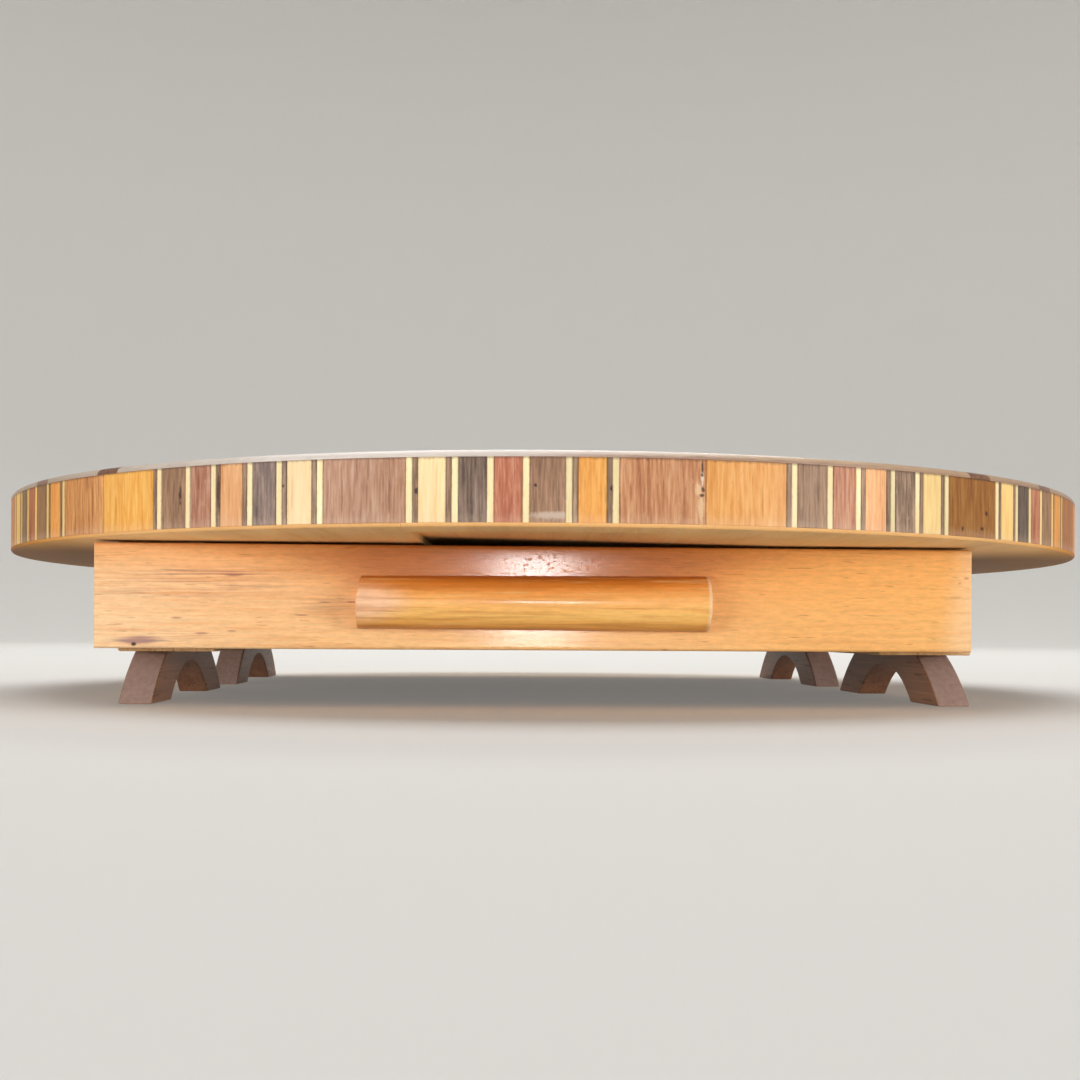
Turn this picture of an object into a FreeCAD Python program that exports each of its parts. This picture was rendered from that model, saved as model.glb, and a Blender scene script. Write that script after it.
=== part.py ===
import FreeCAD, Part
import math
import os

from FreeCAD import Vector

# A low square case with one drawer under a thick round top, on four bow-shaped feet.
# Millimetres, +Z up, the front faces -Y, and the origin is on the floor under the middle of the top.

# Round top
top_diameter = 450.0
sheet_thickness = 2.1  # pale sheet over the core boards
sheet_chamfer = 1.4  # on the sheet's rim
band_height = 18.9  # striped edge band
band_depth = 4.0
lip_height = 1.2  # core wood left under the band
board_width = 121.0  # core boards, glued edge to edge
board_joint = -41.3  # of the open joint under the top from the top's middle
cup_depth = 2.2  # hollow under the cupped board, deepest at the open joint
cup_rim = 20.0  # sound wood between the hollow and the edge
inlay_width = 7.0  # brown strips let into the sheet
inlay_inset = 46.5  # from the rim to a strip's outer side
top_turn = -3.0  # degrees, of the top's boards, inlay and band against the case

# Edge band: strip widths, and one repeat from its seam, left to right seen from the front
band_repeats = 7
band_seam = -39.4  # degrees from the top's front
wide_block = 25.4
broad_block = 10.2
block = 8.2
pale_line = 2.0
dark_line = 1.6
band_pattern = [
    ("amber", wide_block),
    ("dark_lines", dark_line), ("pale_lines", pale_line), ("walnut", broad_block), ("pale_lines", pale_line),
    ("red", block), ("pale_lines", pale_line), ("dark_lines", dark_line), ("peach", block),
    ("dark_lines", dark_line), ("pale_lines", pale_line), ("smoke", block), ("pale_lines", pale_line),
    ("dark_lines", dark_line), ("cream", block), ("dark_lines", dark_line), ("pale_lines", pale_line),
    ("russet", wide_block),
    ("pale_lines", pale_line), ("dark_lines", dark_line), ("cream", block), ("dark_lines", dark_line),
    ("pale_lines", pale_line), ("smoke", block), ("pale_lines", pale_line), ("red", block),
    ("pale_lines", pale_line), ("walnut", broad_block), ("pale_lines", pale_line), ("dark_lines", dark_line),
    ("amber", block), ("dark_lines", dark_line), ("pale_lines", pale_line),
    ("russet", wide_block),
]

# Case
case_width = 299.0
case_offset = -4.2  # of the case's middle from the top's middle, in X
case_depth = 292.0  # from the drawer front's back to the case's back
case_height = 37.6
side_thickness = 19.0
back_thickness = 12.0
runner_width = 14.0
runner_height = 4.0
cleat_width = 10.0
cleat_height = 10.0

# Feet
foot_height = 18.2
foot_length = 126.0
foot_flat = 78.0  # length of the flat that is glued to the case
foot_thickness = 11.7
arch_span = 66.0
arch_rise = 13.5

# Drawer
front_width = 300.0
front_height = 35.5
front_thickness = 12.0
front_edge_round = 1.2
front_top_gap = 0.9  # under the round top
front_offset = -4.6  # of the front's middle from the case's middle, in X
drawer_wall = 8.0
drawer_bottom_thickness = 3.0
bottom_margin = 4.0  # from the drawer sides' lower edges up to the bottom board
groove_depth = 4.0  # for the bottom board and the drawer back
front_housing = 5.0  # depth that the drawer sides are let into the front
drawer_side_gap = 0.8
drawer_runner_gap = 0.3
drawer_cleat_gap = 0.6
drawer_end_gap = 4.0
joint_gap = 0.1  # glue room at housings and grooves

# Half-round bar pull, a little thicker at its right end
pull_length = 119.0
pull_radius_left = 8.9
pull_radius_right = 9.5
pull_stand_off = 1.8  # from the drawer front to the bar's axis
pull_end_chamfer = 0.8
pull_offset = -2.3  # of the pull's middle from the front's middle, in X
pull_drop = 1.7  # below the front's mid-height
pull_screw_spacing = 76.0

# Countersunk wood screws
screw_radius = 1.75
screw_head_radius = 3.4
screw_head_height = 1.9
screw_length = 19.0
screw_gap = 0.1
top_screw_count = 2  # in each cleat
top_screw_end = 40.0  # from a cleat's end to its first screw

# Levels and lines that the pieces share
top_radius = top_diameter / 2
case_bottom = foot_height
top_bottom = case_bottom + case_height
band_bottom = top_bottom + lip_height
band_top = band_bottom + band_height
case_front = -case_depth / 2 + front_thickness / 2
case_rear = case_front + case_depth
case_half = case_width / 2
case_middle = Vector(case_offset, 0, 0)
bay_half = case_half - side_thickness
bay_rear = case_rear - back_thickness
runner_top = case_bottom + runner_height
cleat_bottom = top_bottom - cleat_height

front_top = top_bottom - front_top_gap
front_bottom = front_top - front_height
front_face = case_front - front_thickness
front_left = front_offset - front_width / 2
front_right = front_offset + front_width / 2
drawer_half = bay_half - drawer_side_gap
drawer_low = runner_top + drawer_runner_gap
drawer_high = cleat_bottom - drawer_cleat_gap
drawer_rear = bay_rear - drawer_end_gap
tray_low = drawer_low + bottom_margin
tray_floor = tray_low + drawer_bottom_thickness
tray_half = drawer_half - drawer_wall

pull_level = (front_top + front_bottom) / 2 - pull_drop
pull_middle = front_offset + pull_offset


def box(x0, x1, y0, y1, z0, z1):
    return Part.makeBox(x1 - x0, y1 - y0, z1 - z0, Vector(x0, y0, z0))


def mirrored(shape):
    return shape.mirror(Vector(0, 0, 0), Vector(1, 0, 0))


def rim_edges(solid, level):
    edges = [e for e in solid.Edges if isinstance(e.Curve, Part.Circle)]
    return [e for e in edges if abs(e.BoundBox.ZMin - level) + abs(e.BoundBox.ZMax - level) < 1e-6]


def arc_wire(points):
    # closed outline of straight sides, with an arc wherever three points are given together
    edges = []
    for side in points:
        if len(side) == 3:
            edges.append(Part.Arc(*side).toShape())
        else:
            edges.append(Part.makeLine(*side))
    return Part.Wire(edges)


def screw(head, direction, gap=0.0):
    # the head's flat face is at the given point, and the shank runs along the direction
    cone = Part.makeCone(screw_head_radius + gap, screw_radius + gap, screw_head_height, head, direction)
    shank = Part.makeCylinder(screw_radius + gap, screw_length + gap, head, direction)
    return cone.fuse(shank).removeSplitter()


def save(node, shape):
    shape.exportStep("parts/" + node + ".step")


def save_on_case(node, shape):
    save(node, shape.translated(case_middle))


os.makedirs("parts", exist_ok=True)

# Screw places
pull_screw_heads = []
for side in (-1, 1):
    pull_screw_heads.append(Vector(pull_middle + side * pull_screw_spacing / 2, case_front, pull_level))
forward = Vector(0, -1, 0)

top_screw_heads = []
cleat_x = bay_half - cleat_width / 2
screw_step = (bay_rear - case_front - 2 * top_screw_end) / (top_screw_count - 1)
for side in (-1, 1):
    for i in range(top_screw_count):
        y = case_front + top_screw_end + i * screw_step
        top_screw_heads.append(Vector(side * cleat_x, y, cleat_bottom))
upward = Vector(0, 0, 1)


# Core boards, with a rebate round the edge for the band
def core_boards():
    lip = Part.makeCylinder(top_radius, lip_height, Vector(0, 0, top_bottom))
    body = Part.makeCylinder(top_radius - band_depth, band_height, Vector(0, 0, band_bottom))
    core = lip.fuse(body).removeSplitter()
    for head in top_screw_heads:
        core = core.cut(screw(head + case_middle, upward, screw_gap))
    joints = [board_joint + i * board_width for i in (-1, 0, 1)]
    limits = [-top_diameter] + joints + [top_diameter]
    boards = []
    for left, right in zip(limits, limits[1:]):
        slab = box(left, right, -top_diameter, top_diameter, case_bottom, 2 * band_top)
        slab.rotate(Vector(0, 0, 0), upward, top_turn)
        boards.append(core.common(slab))
    boards[2] = boards[2].cut(cup_hollow())
    return boards


def cup_hollow():
    joint_low = Vector(board_joint, -top_radius, top_bottom)
    joint_high = Vector(board_joint, -top_radius, top_bottom + cup_depth)
    far_low = Vector(board_joint + board_width, -top_radius, top_bottom)
    wedge = Part.Face(Part.makePolygon([joint_low, joint_high, far_low, joint_low]))
    wedge = wedge.extrude(Vector(0, top_diameter, 0))
    wedge.rotate(Vector(0, 0, 0), upward, top_turn)
    return wedge.common(Part.makeCylinder(top_radius - cup_rim, cup_depth, Vector(0, 0, top_bottom)))


for name, board in zip(("far_left", "left", "middle", "right"), core_boards()):
    save("top_board_" + name, board)


# Pale sheet with its four inlay strips
def top_sheet():
    sheet = Part.makeCylinder(top_radius, sheet_thickness, Vector(0, 0, band_top))
    sheet = sheet.makeChamfer(sheet_chamfer, rim_edges(sheet, band_top + sheet_thickness))
    strip_far = top_radius - inlay_inset
    strip_near = strip_far - inlay_width
    pieces = {}
    rest = sheet
    for name, angle in (("front", 0), ("back", 180), ("left", -90), ("right", 90)):
        for kind, limit in (("top_sheet_", strip_far), ("top_inlay_", strip_near)):
            beyond = box(-top_diameter, top_diameter, -top_diameter, -limit, band_bottom, 2 * band_top)
            beyond.rotate(Vector(0, 0, 0), upward, angle + top_turn)
            pieces[kind + name] = rest.common(beyond)
            rest = rest.cut(beyond)
    pieces["top_sheet_field"] = rest
    return pieces


for node, piece in top_sheet().items():
    save(node, piece)


# Edge band: one solid for each strip, grouped by timber
def band_point(radius, degrees):
    turn = math.radians(degrees)
    return Vector(radius * math.sin(turn), -radius * math.cos(turn), band_bottom)


def band_strip(start, end):
    inner = top_radius - band_depth
    middle = (start + end) / 2
    outer_arc = [band_point(top_radius, a) for a in (start, middle, end)]
    inner_arc = [band_point(inner, a) for a in (end, middle, start)]
    outline = arc_wire([
        outer_arc,
        (outer_arc[2], inner_arc[0]),
        inner_arc,
        (inner_arc[2], outer_arc[0]),
    ])
    return Part.Face(outline).extrude(Vector(0, 0, band_height))


def band_line(start, end):
    # so narrow that its faces can be flat
    inner = (top_radius - band_depth) / math.cos(math.radians((end - start) / 2))
    corners = [band_point(top_radius, start), band_point(top_radius, end)]
    corners += [band_point(inner, end), band_point(inner, start)]
    return Part.Face(Part.makePolygon(corners + corners[:1])).extrude(Vector(0, 0, band_height))


def edge_band():
    repeat = 360.0 / band_repeats
    per_mm = repeat / sum(width for timber, width in band_pattern)
    groups = {}
    for i in range(band_repeats):
        start = band_seam + top_turn + i * repeat
        for timber, width in band_pattern:
            end = start + width * per_mm
            strip = band_line if timber.endswith("lines") else band_strip
            groups.setdefault(timber, []).append(strip(start, end))
            start = end
    return groups


for timber, strips in edge_band().items():
    save("edge_" + timber, Part.makeCompound(strips))


# Case
case_side = box(bay_half, case_half, case_front, case_rear, case_bottom, top_bottom)
save_on_case("case_side_right", case_side)
save_on_case("case_side_left", mirrored(case_side))
save_on_case("case_back", box(-bay_half, bay_half, bay_rear, case_rear, case_bottom, top_bottom))

runner = box(bay_half - runner_width, bay_half, case_front, bay_rear, case_bottom, runner_top)
save_on_case("drawer_runner_right", runner)
save_on_case("drawer_runner_left", mirrored(runner))

cleat = box(bay_half - cleat_width, bay_half, case_front, bay_rear, cleat_bottom, top_bottom)
for head in top_screw_heads:
    cleat = cleat.cut(screw(head, upward, screw_gap))
save_on_case("top_cleat_right", cleat)
save_on_case("top_cleat_left", mirrored(cleat))
save_on_case("top_screws", Part.makeCompound([screw(head, upward) for head in top_screw_heads]))


# Bow-shaped feet, cut from a board: round ends, a flat top and an arch
def foot():
    half = foot_length / 2
    flat = foot_flat / 2
    bow_drop = (half ** 2 - flat ** 2 - foot_height ** 2) / (2 * foot_height)
    bow_radius = math.hypot(half, bow_drop)
    arch_radius = (arch_span ** 2 / 4 + arch_rise ** 2) / (2 * arch_rise)
    along_x = Vector(1, 0, 0)
    blank = box(0, foot_thickness, -half, half, 0, foot_height)
    bow = Part.makeCylinder(bow_radius, foot_thickness, Vector(0, 0, -bow_drop), along_x)
    arch = Part.makeCylinder(arch_radius, foot_thickness, Vector(0, 0, arch_rise - arch_radius), along_x)
    return blank.common(bow).cut(arch)


foot_places = {"front": case_front + foot_length / 2, "rear": case_rear - foot_length / 2}
for name, y in foot_places.items():
    right_foot = foot()
    right_foot.translate(Vector(case_half - foot_thickness, y, 0))
    save_on_case("foot_" + name + "_right", right_foot)
    save_on_case("foot_" + name + "_left", mirrored(right_foot))


# Drawer
def drawer_front():
    front = box(front_left, front_right, front_face, case_front, front_bottom, front_top)
    face_edges = [e for e in front.Edges if abs(e.BoundBox.YMax - front_face) < 1e-6]
    front = front.makeFillet(front_edge_round, face_edges)
    housing = box(
        tray_half - joint_gap, drawer_half + joint_gap,
        case_front - front_housing - joint_gap, case_front,
        drawer_low - joint_gap, drawer_high + joint_gap,
    )
    bottom_groove = box(
        -tray_half, tray_half,
        case_front - groove_depth - joint_gap, case_front,
        tray_low - joint_gap, tray_floor + joint_gap,
    )
    front = front.cut(housing).cut(mirrored(housing)).cut(bottom_groove)
    for head in pull_screw_heads:
        front = front.cut(screw(head, forward, screw_gap))
    return front


def drawer_side():
    side = box(tray_half, drawer_half, case_front - front_housing, drawer_rear, drawer_low, drawer_high)
    bottom_groove = box(
        tray_half, tray_half + groove_depth + joint_gap,
        case_front - front_housing, drawer_rear,
        tray_low - joint_gap, tray_floor + joint_gap,
    )
    back_housing = box(
        tray_half, tray_half + groove_depth + joint_gap,
        drawer_rear - 2 * drawer_wall - joint_gap, drawer_rear - drawer_wall + joint_gap,
        tray_floor, drawer_high,
    )
    return side.cut(bottom_groove).cut(back_housing)


def drawer_bottom():
    half = tray_half + groove_depth
    return box(-half, half, case_front - groove_depth, drawer_rear, tray_low, tray_floor)


def drawer_back():
    half = tray_half + groove_depth
    return box(-half, half, drawer_rear - 2 * drawer_wall, drawer_rear - drawer_wall, tray_floor, drawer_high)


def bar_pull():
    left_end = Vector(pull_middle - pull_length / 2, front_face - pull_stand_off, pull_level)
    along_x = Vector(1, 0, 0)
    bar = Part.makeCone(pull_radius_left, pull_radius_right, pull_length, left_end, along_x)
    bar = bar.makeChamfer(pull_end_chamfer, [e for e in bar.Edges if e.BoundBox.XLength < 1e-6])
    bar = bar.common(box(front_left, front_right, -top_diameter, front_face, 0, top_bottom))
    for head in pull_screw_heads:
        bar = bar.cut(screw(head, forward, screw_gap))
    return bar


save_on_case("drawer_front", drawer_front())
save_on_case("drawer_side_right", drawer_side())
save_on_case("drawer_side_left", mirrored(drawer_side()))
save_on_case("drawer_bottom", drawer_bottom())
save_on_case("drawer_back", drawer_back())
save_on_case("drawer_pull", bar_pull())
save_on_case("pull_screws", Part.makeCompound([screw(head, forward) for head in pull_screw_heads]))
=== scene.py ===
import math
import random

import bmesh
import bpy
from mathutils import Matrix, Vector


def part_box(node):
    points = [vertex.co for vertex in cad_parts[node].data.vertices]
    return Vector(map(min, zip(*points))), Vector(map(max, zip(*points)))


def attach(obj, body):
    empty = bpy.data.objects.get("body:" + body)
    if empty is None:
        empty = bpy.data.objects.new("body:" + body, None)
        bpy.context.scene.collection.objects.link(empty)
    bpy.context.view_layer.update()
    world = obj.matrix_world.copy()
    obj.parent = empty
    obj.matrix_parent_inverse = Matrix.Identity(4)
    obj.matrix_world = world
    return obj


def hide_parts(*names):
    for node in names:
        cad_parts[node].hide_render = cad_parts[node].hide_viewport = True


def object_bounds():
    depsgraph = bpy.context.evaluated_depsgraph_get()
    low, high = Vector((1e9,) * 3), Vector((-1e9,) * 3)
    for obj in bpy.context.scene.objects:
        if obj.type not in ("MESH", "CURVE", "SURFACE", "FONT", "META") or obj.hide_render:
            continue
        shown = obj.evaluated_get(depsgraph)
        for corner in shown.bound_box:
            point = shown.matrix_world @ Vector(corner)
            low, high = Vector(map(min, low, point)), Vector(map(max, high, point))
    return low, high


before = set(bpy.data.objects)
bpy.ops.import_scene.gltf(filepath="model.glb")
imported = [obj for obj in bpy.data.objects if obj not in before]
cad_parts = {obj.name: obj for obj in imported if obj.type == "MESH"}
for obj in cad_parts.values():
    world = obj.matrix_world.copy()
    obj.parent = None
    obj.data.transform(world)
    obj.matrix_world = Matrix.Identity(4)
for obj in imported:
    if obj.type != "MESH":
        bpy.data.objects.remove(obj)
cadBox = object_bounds()
mm = 0.001
same = 1e-6  # points nearer than this are one point
endless = 1e6  # reach along an axis that doesn't count
topTurn = math.radians(-3.0)  # of the round top against the case
topAcross = Vector((math.cos(topTurn), math.sin(topTurn), 0))
topDeep = Vector((-math.sin(topTurn), math.cos(topTurn), 0))


def rgb(red, green, blue):  # a colour as it looks on screen, 0 to 255
    def linear(level):
        level = level / 255
        return level / 12.92 if level <= 0.04045 else ((level + 0.055) / 1.055) ** 2.4

    return (linear(red), linear(green), linear(blue), 1.0)


# Shader maths

class Wire:  # a socket that takes part in Python sums
    def __init__(self, finish, socket):
        self.finish = finish
        self.socket = socket

    def math(self, operation, other, swapped=False):
        first, second = (other, self) if swapped else (self, other)
        return self.finish.add("Math", {"operation": operation}, {0: first, 1: second})

    def __add__(self, other):
        return self.math("ADD", other)

    def __sub__(self, other):
        return self.math("SUBTRACT", other)

    def __rsub__(self, other):
        return self.math("SUBTRACT", other, True)

    def __mul__(self, other):
        return self.math("MULTIPLY", other)

    __radd__ = __add__
    __rmul__ = __mul__


class Finish:  # one material and the nodes that make it
    def __init__(self, name, sockets):
        self.material = bpy.data.materials.new(name)
        self.material.use_nodes = True
        self.tree = self.material.node_tree
        self.shader = self.tree.nodes["Principled BSDF"]
        self.place = self.add("TexCoord", output="Object")
        self.turn = 0.0  # of the grain, about z
        self.set(sockets)

    def plug(self, socket, value):
        if isinstance(value, Wire):
            self.tree.links.new(value.socket, socket)
        else:
            socket.default_value = value

    def add(self, kind, settings=None, sockets=None, output=0):
        node = self.tree.nodes.new("ShaderNode" + kind)
        for key, value in (settings or {}).items():
            if key == "stops":
                while len(node.color_ramp.elements) < len(value):
                    node.color_ramp.elements.new(1.0)
                for element, (position, colour) in zip(node.color_ramp.elements, value):
                    element.position = position
                    element.color = colour
            else:
                setattr(node, key, value)
        for key, value in (sockets or {}).items():
            self.plug(node.inputs[key], value)
        return Wire(self, node.outputs[output])

    def set(self, sockets):
        for key, value in sockets.items():
            self.plug(self.shader.inputs[key], value)

    def stretch(self, scale):  # the piece's own place, drawn out along the grain
        sizes = [1 / share for share in scale]
        sockets = {"Vector": self.place, "Rotation": (0, 0, self.turn), "Scale": sizes}
        return self.add("Mapping", {"vector_type": "TEXTURE"}, sockets)

    def noise(self, vector, scale, detail=2.0, roughness=0.5):
        sockets = {"Vector": vector, "Scale": scale, "Detail": detail, "Roughness": roughness}
        return self.add("TexNoise", None, sockets, "Fac")

    def remap(self, value, low, high, first=0.0, last=1.0):
        return self.add("MapRange", {"interpolation_type": "SMOOTHSTEP"},
                        {0: value, 1: low, 2: high, 3: first, 4: last})

    def ramp(self, value, stops):
        return self.add("ValToRGB", {"stops": stops}, {0: value})

    def blend(self, factor, first, second, mode="MIX"):
        return self.add("Mix", {"data_type": "RGBA", "blend_type": mode}, {0: factor, 6: first, 7: second}, 2)

    def axes(self, vector):
        split = self.add("SeparateXYZ", None, {0: vector}).socket.node
        return [Wire(self, socket) for socket in split.outputs]

    def away(self, centre, reach):  # 0 at the centre, 1 at the reach
        offset = self.add("VectorMath", {"operation": "SUBTRACT"}, {0: self.place, 1: centre})
        offset = self.add("VectorMath", {"operation": "DIVIDE"}, {0: offset, 1: reach})
        return self.add("VectorMath", {"operation": "LENGTH"}, {0: offset}, "Value")

    def bump(self, height, depth):
        self.set({"Normal": self.add("Bump", None, {"Height": height, "Distance": depth})})


def drawnOut(along, share):  # scale that draws noise out along one axis
    scale = [1.0, 1.0, 1.0]
    scale[along] = share
    return scale


# Wood finishes

def woodNoise(finish, along, look):
    fine, middling, wide = look["drawn"]
    fibres = finish.noise(finish.stretch(drawnOut(along, fine)), look["fibres"], 2)
    streaks = finish.noise(finish.stretch(drawnOut(along, middling)), look["streaks"], 4, 0.6)
    clouds = finish.noise(finish.stretch(drawnOut(along, wide)), look["clouds"], 2)
    return fibres, streaks, clouds


def woodColour(finish, along, look):
    fibres, streaks, clouds = woodNoise(finish, along, look)
    grain = fibres * look["fine"] + streaks * (1 - look["fine"])
    colour = finish.ramp(grain, [(0.3, look["dark"]), (0.5, look["base"]), (0.7, look["light"])])
    pores = finish.noise(finish.stretch(drawnOut(along, 0.06)), look["poreScale"], 1)
    pores = finish.remap(pores, look["poreFrom"], look["poreFrom"] + 0.06)
    colour = finish.blend(pores * look["poreDepth"], colour, look["pore"])
    colour = finish.blend(1.0, colour, clouds * 0.5 + 0.75, "MULTIPLY")
    return colour, grain, pores


woodIor = 1.48
woodLook = {
    "fibres": 1300, "streaks": 260, "clouds": 38, "fine": 0.5, "drawn": (0.02, 0.035, 0.25),
    "poreScale": 900, "poreFrom": 0.66, "poreDepth": 0.5,
    "rough": 0.42, "gloss": 0.2, "depth": 0.12 * mm,
}


def plainWood(name, along, tones, turn=0.0):
    look = {**woodLook, **tones}
    finish = Finish(name, {"Coat Roughness": 0.25, "IOR": woodIor, "Coat Weight": look["gloss"]})
    finish.turn = turn
    colour, grain, pores = woodColour(finish, along, look)
    finish.set({"Base Color": colour, "Roughness": look["rough"] + 0.25 * (grain - 0.5) + 0.2 * pores})
    finish.bump(grain - pores * 0.8, look["depth"])
    return finish


# painted shade: tint that darkens and browns both sides of the round top
sideShadeTint = {"from": 140 * mm, "to": 195 * mm, "tint": (0.86, 0.66, 0.28, 1.0)}


def warmSides(finish, colour):  # painted shade: towards both sides of the round top the colour turns darker and browner
    x = finish.axes(finish.place)[0]
    aside = finish.remap(x.math("ABSOLUTE", 0.0), sideShadeTint["from"], sideShadeTint["to"])
    return finish.blend(aside, colour, sideShadeTint["tint"], "MULTIPLY")


# Striped edge band: one repeat is made strip by strip, then repeated round the rim

band = {
    "repeats": 7,
    "seam": -39.4,  # degrees from the front, to the right
    "arris": 0.16 * mm,
    "depth": 4.0 * mm,
    "step": 1.0,  # degrees between cross-sections
    "proud": 0.07 * mm,  # how far strips differ from flush
    "strips": {"wide": 25.4, "broad": 10.2, "block": 8.2, "pale": 2.0, "dark": 1.6},  # widths, in proportion
    "pattern": [
        ("amber", "wide"), ("dark_lines", "dark"), ("pale_lines", "pale"), ("walnut", "broad"),
        ("pale_lines", "pale"), ("red", "block"), ("pale_lines", "pale"), ("dark_lines", "dark"),
        ("peach", "block"), ("dark_lines", "dark"), ("pale_lines", "pale"), ("smoke", "block"),
        ("pale_lines", "pale"), ("dark_lines", "dark"), ("cream", "block"), ("dark_lines", "dark"),
        ("pale_lines", "pale"), ("russet", "wide"), ("pale_lines", "pale"), ("dark_lines", "dark"),
        ("cream", "block"), ("dark_lines", "dark"), ("pale_lines", "pale"), ("smoke", "block"),
        ("pale_lines", "pale"), ("red", "block"), ("pale_lines", "pale"), ("walnut", "broad"),
        ("pale_lines", "pale"), ("dark_lines", "dark"), ("amber", "block"), ("dark_lines", "dark"),
        ("pale_lines", "pale"), ("russet", "wide"),
    ],
    "shadeSpread": 0.08,
    "strays": {  # strips of another tone: timber, repeat and place in the repeat, with their tint
        ("russet", 0, 0): (0.8, 0.83, 0.88), ("russet", 0, 1): (0.99, 0.91, 0.77),
        ("russet", 6, 1): (1.1, 1.02, 0.68), ("russet", 1, 0): (0.6, 0.47, 0.17),
        ("russet", 1, 1): (0.8, 0.68, 0.5), ("amber", 0, 0): (1.03, 1.04, 0.77),
        ("amber", 0, 1): (0.95, 0.86, 0.62), ("amber", 1, 0): (0.9, 0.87, 0.86),
        ("smoke", 0, 0): (1.15, 1.08, 1.1), ("smoke", 0, 1): (0.74, 0.7, 0.67),
        ("smoke", 1, 0): (1.25, 1.12, 0.92), ("smoke", 1, 1): (0.6, 0.58, 0.58),
        ("red", 0, 0): (0.94, 1.1, 1.15), ("red", 0, 1): (0.98, 0.88, 0.84),
        ("red", 1, 0): (0.98, 1.02, 0.92), ("walnut", 0, 0): (0.98, 0.92, 0.84),
        ("walnut", 0, 1): (1.05, 0.98, 0.94), ("walnut", 1, 0): (0.9, 0.86, 0.76),
        ("cream", 1, 0): (1.03, 1.0, 0.8), ("cream", 1, 1): (1.02, 0.94, 0.66),
    },
    "flaws": [  # timber, look, degrees from the front, height up the strip, half width and height, mm
        ("dark_lines", "spot", 5.0, 10.0, 0.75, 0.8), ("dark_lines", "spot", 33.1, 8.5, 0.8, 1.1),
        ("dark_lines", "spot", -20.1, 11.5, 0.6, 0.6), ("dark_lines", "crack", -26.0, 10.0, 0.9, 5.5),
        ("walnut", "crack", -29.9, 10.5, 0.6, 3.0), ("russet", "spot", 39.8, 8.0, 0.8, 0.9),
        ("russet", "spot", 36.5, 2.5, 0.7, 0.9), ("russet", "spot", 39.2, 3.0, 0.8, 0.7),
        ("russet", "filler", 11.67, 4.7, 0.9, 5.0), ("russet", "filler", 11.44, 10.4, 1.1, 2.2),
        ("russet", "chalk", 11.75, 13.5, 0.45, 2.3), ("russet", "crack", 11.75, 16.5, 0.35, 2.0),
        ("russet", "crack", 11.71, 14.4, 0.5, 0.5), ("russet", "crack", 11.8, 10.2, 0.6, 0.8),
        ("russet", "crack", 11.71, 8.5, 0.8, 0.5), ("dark_lines", "spot", -9.4, 9.3, 0.7, 0.9),
        # the pale streak low on a walnut strip near the front is a painted highlight
        ("walnut", "spot", -0.6, 10.7, 0.5, 0.5), ("walnut", "smear", 0.6, 2.1, 7.0, 1.2),
    ],
    "filler": rgb(222, 186, 146),
    "chalk": rgb(220, 206, 190),
    "smear": rgb(198, 176, 158),
    "crack": rgb(74, 52, 40),
    "spot": rgb(44, 22, 28),
    "dustAndSheen": rgb(232, 204, 178),
    "topEdgeDark": rgb(84, 58, 48),
}

timbers = {
    "amber": {"dark": rgb(218, 142, 64), "base": rgb(240, 174, 98), "light": rgb(250, 198, 130)},
    "walnut": {"dark": rgb(112, 84, 66), "base": rgb(160, 126, 100), "light": rgb(190, 156, 130)},
    "smoke": {"dark": rgb(78, 66, 60), "base": rgb(130, 110, 98), "light": rgb(178, 156, 142)},
    "red": {"dark": rgb(150, 78, 58), "base": rgb(192, 126, 98), "light": rgb(220, 166, 138)},
    "cream": {"dark": rgb(244, 204, 146), "base": rgb(251, 220, 166), "light": rgb(254, 232, 188)},
    "russet": {"dark": rgb(156, 100, 74), "base": rgb(200, 146, 110), "light": rgb(226, 182, 150)},
    "peach": {"dark": rgb(222, 148, 92), "base": rgb(240, 176, 120), "light": rgb(250, 202, 152)},
    "pale_lines": {"dark": rgb(242, 214, 150), "base": rgb(250, 228, 176), "light": rgb(254, 238, 198)},
    "dark_lines": {"dark": rgb(96, 74, 60), "base": rgb(150, 120, 96), "light": rgb(184, 154, 128)},
}


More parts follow.
